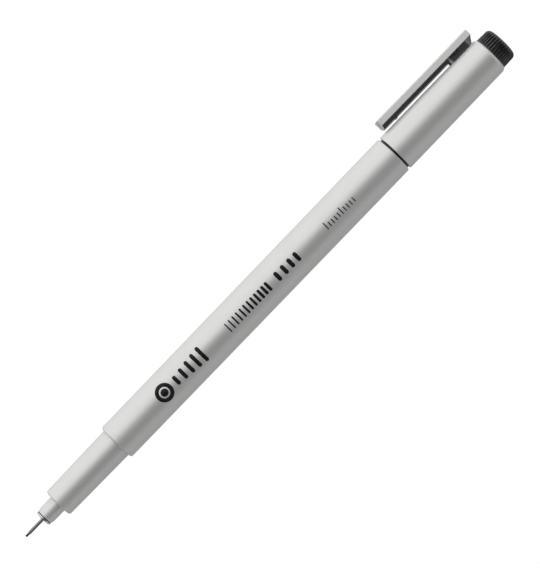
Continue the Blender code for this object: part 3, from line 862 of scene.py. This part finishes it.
def levels(low, high, low_edge, high_edge):
    """(inset, height, wear_and_highlight) of the rings that make a bar with rounded lower and upper edges.
    """
    rings = [(low_edge + SUPPORT, low, 0.0)]
    for step in range(ARC_STEPS + 1):
        angle = math.pi / 2.0 * step / ARC_STEPS
        wear_and_highlight = math.sin(2.0 * angle)
        rings.append((low_edge * (1.0 - math.sin(angle)), low + low_edge * (1.0 - math.cos(angle)), wear_and_highlight))
    side_low = low + low_edge + SUPPORT
    side_high = high - high_edge - SUPPORT
    for height in [side_low, *spaced(side_low, side_high, LEVEL_STEP), side_high]:
        rings.append((0.0, height, 0.0))
    for step in range(ARC_STEPS + 1):
        angle = math.pi / 2.0 * step / ARC_STEPS
        wear_and_highlight = math.sin(2.0 * angle)
        inset = high_edge * (1.0 - math.cos(angle))
        rings.append((inset, high - high_edge * (1.0 - math.sin(angle)), wear_and_highlight))
    rings.append((high_edge + SUPPORT, high, 0.0))
    return rings


def spaced(start, end, step):
    """Evenly spaced numbers strictly between start and end, about step apart."""
    count = max(1, round(abs(end - start) / step))
    return [start + (end - start) * index / count for index in range(1, count)]


def bar(name, plan, heights, shape, step, extra=()):
    """A closed bar from its plan and its heights, with its points moved by shape(along, side, height)."""
    tip, heel, half, tip_radius, heel_radius = plan
    straight_start = heel - heel_radius
    straight_end = tip + tip_radius
    stations = spaced(straight_start, straight_end, step)
    stations += [straight_start - SUPPORT, straight_end + SUPPORT]
    stations += list(extra)
    stations = sorted(set(stations), reverse=True)
    build = bmesh.new()
    wear_and_highlight_layer = build.verts.layers.float.new("wear_and_highlight")
    rings = []
    for inset, height, wear_and_highlight in levels(*heights):
        side = plan_half(tip, heel, half, tip_radius, heel_radius, inset, stations)
        loop = side + [(along, -out) for along, out in reversed(side)]
        ring = []
        for along, out in loop:
            place = CLIP_FRAME @ (Vector(shape(along, out, height)) * MM)
            vert = build.verts.new(place)
            vert[wear_and_highlight_layer] = wear_and_highlight
            ring.append(vert)
        rings.append(ring)
    for first, second in zip(rings, rings[1:]):
        stitch(build, first, second)
    for ring in (rings[0], rings[-1]):
        count = len(ring)
        for index in range(count // 2 - 1):
            after = index + 1
            build.faces.new((ring[index], ring[after], ring[count - 1 - after], ring[count - 1 - index]))
    return mesh_object(name, build)


def bend_with_clip(piece):
    """Bakes the piece's transform into its mesh."""
    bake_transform(piece)


def cover_shape(along, out, height):
    """The cover bows, is a little deeper at its heel, and turns down at its tip round the core's end."""
    share = (along - COVER_LOW[0]) / (COVER_HIGH[0] - COVER_LOW[0])
    drop = COVER_DEEPER_TIP + (COVER_DEEPER_HEEL - COVER_DEEPER_TIP) * share
    past_tip = along - COVER_LOW[0] - COVER_TIP_TRIM
    if past_tip < COVER_LIP:
        inward = max(0.0, CORE_LIP - past_tip)
        rounding = CORE_LIP - math.sqrt(max(0.0, CORE_LIP**2 - inward**2))
        drop = COVER_LOW[2] - CORE_UNDERSIDE - COVER_CORE_GAP - rounding
    lowered = max(0.0, 1.0 - (height - COVER_LOW[2]) / COVER_FADE)
    rise = COVER_BOW * (share - COVER_BOW_LOWEST) ** 2
    return along, out, height - drop * lowered + rise * (1.0 - lowered)


def make_clip_bar(material):
    tip = COVER_LOW[0] + COVER_TIP_TRIM
    heel = COVER_HIGH[0] + COVER_HEEL_EXTRA
    half = COVER_HIGH[1]
    plan = (tip, heel, half, half - TIP_ROUND_MARGIN, COVER_HEEL_RADIUS)
    heights = (COVER_LOW[2], COVER_HIGH[2], COVER_LOWER_EDGE, COVER_UPPER_EDGE)
    piece = bar("clip_bar", plan, heights, cover_shape, BAR_STEP)
    piece.data.materials.append(material)
    bend_with_clip(piece)
    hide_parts("clip_cover")


def core_shape(along, out, height):
    """The rounded lip and the nub under the clip's tip."""
    lowered = max(0.0, 1.0 - (height - CORE_UNDERSIDE) / CORE_NUB_FADE)
    reach = abs(along - CORE_NUB_STATION)
    drop = 0.0
    if reach < CORE_NUB_HALF:
        drop = CORE_NUB_DEPTH * (1.0 - (reach / CORE_NUB_HALF) ** 2)
    inward = max(0.0, CORE_LIP - (along - CORE_LOW[0] - COVER_TIP_TRIM))
    lift = CORE_LIP - math.sqrt(max(0.0, CORE_LIP**2 - inward**2))
    return along, out, height + (lift - drop) * lowered


def make_clip_core(material):
    tip = CORE_LOW[0] + COVER_TIP_TRIM
    heel = FOOT_HIGH[0] - CORE_IN_FOOT
    half = CORE_HIGH[1]
    plan = (tip, heel, half, half - TIP_ROUND_MARGIN, CORE_HEEL_RADIUS)
    heights = (CORE_UNDERSIDE, COVER_LOW[2] + CORE_IN_COVER, CORE_LOWER_EDGE, CORE_UPPER_EDGE)
    reach = CORE_NUB_HALF + CORE_NUB_MARGIN
    nub = spaced(CORE_NUB_STATION - reach, CORE_NUB_STATION + reach, CORE_NUB_STEP)
    piece = bar("clip_core", plan, heights, core_shape, BAR_STEP, nub)
    piece.data.materials.append(material)
    bend_with_clip(piece)
    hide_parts("clip_arm")


def foot_shape(along, out, height):
    """The heel leans back, up to the end of the clip's bar, and the foot spreads out on the cap."""
    middle = (FOOT_LOW[0] + FOOT_HEEL) / 2.0
    share = max(0.0, (along - middle) / (FOOT_HEEL - middle))
    rise = max(0.0, height - FOOT_LEAN_HEIGHT) / (COVER_LOW[2] - FOOT_LEAN_HEIGHT)
    flare = min(1.0, max(0.0, FOOT_FLARE_TOP - height) / (FOOT_FLARE_TOP - FOOT_BASE))
    out += math.copysign(FOOT_FLARE * flare * abs(out) / FOOT_HIGH[1], out)
    return along + share * min(1.0, rise) * (FOOT_HEEL_TOP - FOOT_HEEL), out, height


def paint_foot_highlights(piece):
    """The foot gets a painted highlight in an upright strip near each end, and a weaker one on its heel."""
    inverse = CLIP_FRAME.inverted()
    wear_and_highlight = piece.data.attributes["wear_and_highlight"].data
    for vert, value in zip(piece.data.vertices, wear_and_highlight):
        along = (inverse @ vert.co / MM).x
        from_edge = min(abs(along - edge) for edge in FOOT_HIGHLIGHT_STATIONS)
        strip = max(0.0, 1.0 - (from_edge / FOOT_HIGHLIGHT_WIDTH) ** 2)
        heel = FOOT_HEEL_HIGHLIGHT if along > FOOT_HIGHLIGHT_STATIONS[1] else 0.0
        # Painted highlight strength on the foot
        value.value = max(strip, heel)


def make_foot(material):
    front = FOOT_LOW[0] + FOOT_FRONT_TRIM
    plan = (front, FOOT_HEEL, FOOT_HIGH[1], FOOT_FRONT_RADIUS, FOOT_HEEL_RADIUS)
    heights = (FOOT_BASE, COVER_LOW[2] + FOOT_IN_COVER, FOOT_BLOCK_FILLET, FOOT_BLOCK_FILLET)
    piece = bar("clip_foot_block", plan, heights, foot_shape, FOOT_STEP)
    paint_foot_highlights(piece)
    dress(piece, material, "black_plastic", "cap", "clip_foot")


# ---------------------------------------------------------------- print


def walls(build, shape):
    """The side walls over a flat shape of (along, across) points, standing towards the camera."""
    _, across, to_camera = view_axes()
    rings = []
    for height in (STAMP_LOW, STAMP_HIGH):
        ring = []
        for along, out in shape:
            place = AXIS + ALONG * station(along) + (across * out + to_camera * height) * MM
            ring.append(build.verts.new(place))
        rings.append(ring)
    stitch(build, rings[0], rings[1])
    return rings


def prism(build, shape):
    for ring in walls(build, shape):
        build.faces.new(ring)


def ring_prism(build, outer, inner):
    """A prism with a hole through it. Both outlines have the same number of points."""
    for outside, inside in zip(walls(build, outer), walls(build, inner)):
        stitch(build, outside, inside)


def rounded_bar(centre, width, height, middle=0.0):
    """The outline of a bar across the pen, with rounded ends."""
    radius = min(width, height) / 2.0 * BAR_ROUNDNESS
    straight = height / 2.0 - radius
    points = []
    for side, start in ((1.0, 0.0), (-1.0, math.pi)):
        for step in range(ARC_STEPS + 1):
            angle = start + math.pi * step / ARC_STEPS
            out = middle + side * straight + radius * math.sin(angle)
            points.append((centre + radius * math.cos(angle), out))
    return points


def box_shape(start, end, low, high):
    return [(start, low), (end, low), (end, high), (start, high)]


def circle(radius):
    """The outline of a circle about the ring's centre."""
    count = 8 * ARC_STEPS
    points = []
    for step in range(count):
        angle = 2.0 * math.pi * step / count
        points.append((RING_STATION + radius * math.cos(angle), radius * math.sin(angle)))
    return points


def print_shapes():
    shapes = [circle(RING_DOT)]
    for centre, height in BOLD_BARS:
        shapes.append(rounded_bar(centre, BOLD_WIDTH, height))
    for index in range(STROKES_COUNT):
        centre = STROKES_START + index * STROKES_STEP
        width = STROKE_THIN + index * STROKE_GROWTH
        shapes.append(rounded_bar(centre, width, STROKE_HEIGHT, STROKE_MIDDLE))
    for centre in HEAVY_STROKES:
        shapes.append(rounded_bar(centre, HEAVY_WIDTH, STROKE_HEIGHT, STROKE_MIDDLE))
    for index in range(SCALE_TICKS):
        start = SCALE_START + index * SCALE_STEP
        height = SCALE_SHORT if index % SCALE_TALL_EVERY else SCALE_TALL
        shapes.append(box_shape(start, start + SCALE_LINE, SCALE_BASE, SCALE_BASE + height))
    return shapes


def make_print(material):
    """Ink on the barrel: a thin skin of the barrel's own shape, cut to the printed shapes."""
    front, rear, radius = span("barrel_tube")
    first = RING_STATION - RING_OUTER - PRINT_MARGIN
    last = SCALE_START + SCALE_TICKS * SCALE_STEP + PRINT_MARGIN
    slope = BARREL_TAPER / (rear - front)
    first_radius = radius - slope * (rear - first)
    last_radius = radius - slope * (rear - last)
    corners = [
        (last, last_radius + PRINT_PROUD, 0.0),
        (first, first_radius + PRINT_PROUD, 0.0),
        (first, first_radius - PRINT_SUNK, 0.0),
        (last, last_radius - PRINT_SUNK, 0.0),
    ]
    skin = turned("print", corners)
    build = bmesh.new()
    for shape in print_shapes():
        prism(build, shape)
    ring_prism(build, circle(RING_OUTER), circle(RING_INNER))
    stamp = mesh_object("stamp", build)
    cut = skin.modifiers.new("cut", "BOOLEAN")
    cut.operation = "INTERSECT"
    cut.solver = "EXACT"
    cut.object = stamp
    bpy.context.view_layer.update()
    graph = bpy.context.evaluated_depsgraph_get()
    mesh = bpy.data.meshes.new_from_object(skin.evaluated_get(graph))
    skin.modifiers.clear()
    skin.data = mesh
    bpy.data.objects.remove(stamp, do_unlink=True)
    skin.data.materials.clear()
    skin.data.materials.append(material)
    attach(skin, "barrel")


# ---------------------------------------------------------------- materials


def new_material(name, metallic=0.0):
    material = bpy.data.materials.new(name)
    material.use_nodes = True
    tree = material.node_tree
    shader = tree.nodes["Principled BSDF"]
    shader.inputs["Metallic"].default_value = metallic
    return material, tree, shader


def stretched(tree, along, across):
    """Object coordinates in millimetres, scaled along and across the pen."""
    place = node(tree, "TexCoord").outputs["Object"]
    mapping = node(tree, "Mapping", Vector=place)
    mapping.inputs["Scale"].default_value = (along / MM, across / MM, across / MM)
    return mapping.outputs["Vector"]


def noise(tree, along, across, detail=2.0, roughness=0.5):
    """Noise with this many cells to the millimetre along and across the pen."""
    place = stretched(tree, along, across)
    made = node(tree, "TexNoise", Vector=place, Scale=1.0, Detail=detail, Roughness=roughness)
    return made.outputs["Fac"]


def flakes(tree, size):
    """A random value for each cell of about this size in millimetres."""
    cells = node(tree, "TexVoronoi", Vector=stretched(tree, 1.0 / size, 1.0 / size), Scale=1.0)
    return node(tree, "SeparateColor", Color=cells.outputs["Color"]).outputs[0]


def between(tree, value, low, high, start=0.0, end=1.0):
    """Value, running from start to end, as a number from low to high."""
    made = node(tree, "MapRange", Value=value)
    made.inputs["From Min"].default_value = start
    made.inputs["From Max"].default_value = end
    made.inputs["To Min"].default_value = low
    made.inputs["To Max"].default_value = high
    return made.outputs["Result"]


def blended(tree, share, first, second):
    """A colour that runs from first to second as share runs from 0 to 1."""
    made = node(tree, "Mix", {"data_type": "RGBA"})
    join(tree, share, made.inputs[0])
    join(tree, first, made.inputs[6])
    join(tree, second, made.inputs[7])
    return made.outputs[2]


def weighted(tree, *parts):
    """The sum of (weight, value) parts."""
    total = None
    for weight, value in parts:
        part = arithmetic(tree, "MULTIPLY", value, weight)
        total = part if total is None else arithmetic(tree, "ADD", total, part)
    return total


def wear_and_highlight_mask(tree, size, least=0.0):
    """Where handling has rubbed a piece, and where the crown's rib tops and the foot's strips are marked
    for a painted highlight: patches along its edges and marks, nowhere weaker than least.
    """
    # The mark is rubbing on most pieces, and a painted highlight on the crown's rib tops and the foot's
    # strips
    edges = node(tree, "Attribute", {"attribute_name": "wear_and_highlight"}).outputs["Fac"]
    patches = noise(tree, 1.0 / size, 1.0 / size, detail=3.0, roughness=0.6)
    return arithmetic(tree, "MULTIPLY", edges, between(tree, patches, least, 1.0, start=0.4, end=0.62))


def finish_with(tree, shader, colour, roughness, height, depth, strength):
    """Joins a surface's colour, its roughness and its relief, of this depth in millimetres."""
    tree.links.new(colour, shader.inputs["Base Color"])
    tree.links.new(roughness, shader.inputs["Roughness"])
    relief = node(tree, "Bump", Height=height, Distance=depth * MM, Strength=strength)
    tree.links.new(relief.outputs["Normal"], shader.inputs["Normal"])


def silver_plastic(name):
    """Silver-grey moulded plastic: fine flake, faint flow lines, and satin that is rubbed at the edges."""
    material, tree, shader = new_material(name, 0.4)
    flow = noise(tree, 0.05, 0.9, detail=3.0, roughness=0.55)
    cloud = noise(tree, 0.12, 0.25)
    flake = flakes(tree, 0.09)
    tone = weighted(tree, (0.3, flake), (0.3, flow), (0.4, cloud))
    rubbed = wear_and_highlight_mask(tree, 0.8)
    base = blended(tree, tone, SILVER_DARK, SILVER_LIGHT)
    colour = blended(tree, weighted(tree, (0.25, rubbed)), base, SILVER_RUBBED)
    satin = between(tree, noise(tree, 0.35, 1.6, detail=4.0, roughness=0.6), 0.33, 0.38, start=0.3, end=0.7)
    roughness = weighted(tree, (1.0, satin), (-0.07, rubbed))
    grain = arithmetic(tree, "ADD", noise(tree, 9.0, 9.0), flake)
    finish_with(tree, shader, colour, roughness, grain, depth=0.003, strength=0.15)
    return material


def black_plastic(name, roughness, edge, least, sheen=0.5):
    """Black moulded plastic with a fine spark grain, dulled in patches and greyed along its edges; on the
    crown's rib tops and the foot's strips the greyed marks are painted highlights.
    """
    material, tree, shader = new_material(name)
    shader.inputs["Specular IOR Level"].default_value = sheen
    cloud = noise(tree, 0.8, 0.8, detail=4.0, roughness=0.6)
    base = blended(tree, between(tree, cloud, 0.0, 1.0, start=0.3, end=0.7), BLACK_DARK, BLACK_LIGHT)
    # The edge colour is rubbed grey on most pieces, and a painted highlight on the crown and the foot
    colour = blended(tree, wear_and_highlight_mask(tree, 0.5, least), base, edge)
    satin = between(tree, cloud, roughness - 0.05, roughness + 0.06, start=0.3, end=0.7)
    grain = noise(tree, 7.0, 7.0, detail=3.0, roughness=0.6)
    finish_with(tree, shader, colour, satin, grain, depth=0.006, strength=0.3)
    return material


def steel(name, tone, roughness):
    """Drawn and turned stainless steel: rings of fine tool marks and a few stained spots."""
    material, tree, shader = new_material(name, 1.0)
    rings = noise(tree, 60.0, 0.6, detail=3.0, roughness=0.7)
    stain = between(tree, noise(tree, 1.2, 1.2, detail=4.0, roughness=0.6), 0.0, 1.0, start=0.35, end=0.75)
    clean = (tone, tone, tone * 0.99, 1.0)
    stained = (tone * 0.85, tone * 0.84, tone * 0.82, 1.0)
    colour = blended(tree, stain, clean, stained)
    polish = between(tree, rings, roughness, roughness + 0.05, start=0.35, end=0.75)
    finish_with(tree, shader, colour, polish, rings, depth=0.001, strength=0.15)
    return material


def nib_black():
    """The writing point: a hard fibre rod wet with black ink, lighter where it is rubbed."""
    material, tree, shader = new_material("nib_black")
    fibres = noise(tree, 1.5, 24.0, detail=3.0, roughness=0.6)
    colour = blended(tree, fibres, NIB_WET, NIB_RUBBED)
    finish_with(tree, shader, colour, between(tree, fibres, 0.35, 0.6), fibres, depth=0.01, strength=0.4)
    return material


def ink_fibre():
    """Bundled fibre that holds the ink, in strands along the pen."""
    material, tree, shader = new_material("ink_fibre")
    strands = noise(tree, 0.4, 14.0, detail=4.0, roughness=0.65)
    colour = blended(tree, strands, FIBRE_INKED, FIBRE_PALE)
    finish_with(tree, shader, colour, between(tree, strands, 0.65, 0.95), strands, depth=0.03, strength=0.6)
    return material


def clear_film():
    """The wrap round the reservoir, creased lengthwise and clouded by ink behind it."""
    material, tree, shader = new_material("clear_film")
    creases = noise(tree, 0.15, 1.8, detail=3.0, roughness=0.55)
    colour = blended(tree, creases, FILM_CLOUDED, FILM_CLEAR)
    finish_with(tree, shader, colour, between(tree, creases, 0.08, 0.22), creases, depth=0.03, strength=0.5)
    return material


def natural_plastic():
    """The undyed soft liner: milky, with faint flow lines."""
    material, tree, shader = new_material("natural_plastic")
    shader.inputs["Subsurface Weight"].default_value = 0.2
    shader.inputs["Subsurface Scale"].default_value = 0.5 * MM
    flow = noise(tree, 0.3, 1.1, detail=3.0, roughness=0.6)
    colour = blended(tree, flow, MILKY_DARK, MILKY_LIGHT)
    finish_with(tree, shader, colour, between(tree, flow, 0.38, 0.52), flow, depth=0.01, strength=0.3)
    return material


def print_ink():
    """Pad-printed black ink, thin in places."""
    material, tree, shader = new_material("print_ink")
    shader.inputs["Specular IOR Level"].default_value = 0.2
    cover = noise(tree, 3.0, 3.0, detail=4.0, roughness=0.65)
    colour = blended(tree, between(tree, cover, 0.0, 1.0, start=0.4, end=0.75), INK_FULL, INK_THIN)
    finish_with(tree, shader, colour, between(tree, cover, 0.36, 0.5), cover, depth=0.004, strength=0.3)
    return material


# ---------------------------------------------------------------- the pen


def repaint(name, material):
    """Gives a CAD node that stays in view its procedural material."""
    data = frame["nodes"][name].data
    data.materials.clear()
    data.materials.append(material)


def main():
    make_camera()
    make_studio()
    make_floor()
    silver = silver_plastic("silver_plastic")
    clip_silver = silver_plastic("clip_silver")
    black = black_plastic("black_plastic", BLACK_ROUGHNESS, EDGE_DARK, BLACK_LEAST_WORN)
    # The foot's black carries painted highlights on its strips and heel
    foot_black = black_plastic("foot_black", BLACK_ROUGHNESS, FOOT_HIGHLIGHT, FOOT_LEAST_HIGHLIGHT)
    # The crown's black has painted highlights on its rib tops
    crown_black = black_plastic("crown_black", CROWN_ROUGHNESS, RIB_TOP_HIGHLIGHT, CROWN_LEAST_HIGHLIGHT, CROWN_SHEEN)
    metal = steel("steel", STEEL_TONE, STEEL_ROUGHNESS)
    # Painted shade: the sheath gets a much darker copy of the steel
    shaded_tube_metal = steel("tube_steel_painted_dark", TUBE_SHADED_TONE, TUBE_ROUGHNESS)
    make_barrel(silver)
    make_grip(silver)
    make_holder(silver)
    make_ferrule(metal)
    # A black washer standing for the shade line behind the ferrule
    make_shade_washer(black)
    make_sheath(shaded_tube_metal)
    make_nib(nib_black())
    make_tail(black)
    make_cap(silver)
    make_liner(natural_plastic())
    make_crown(crown_black)
    make_clip_bar(clip_silver)
    make_clip_core(black)
    make_foot(foot_black)
    make_print(print_ink())
    fibre = ink_fibre()
    repaint("relay_wick", fibre)
    repaint("ink_reservoir", fibre)
    repaint("reservoir_film", clear_film())


main()
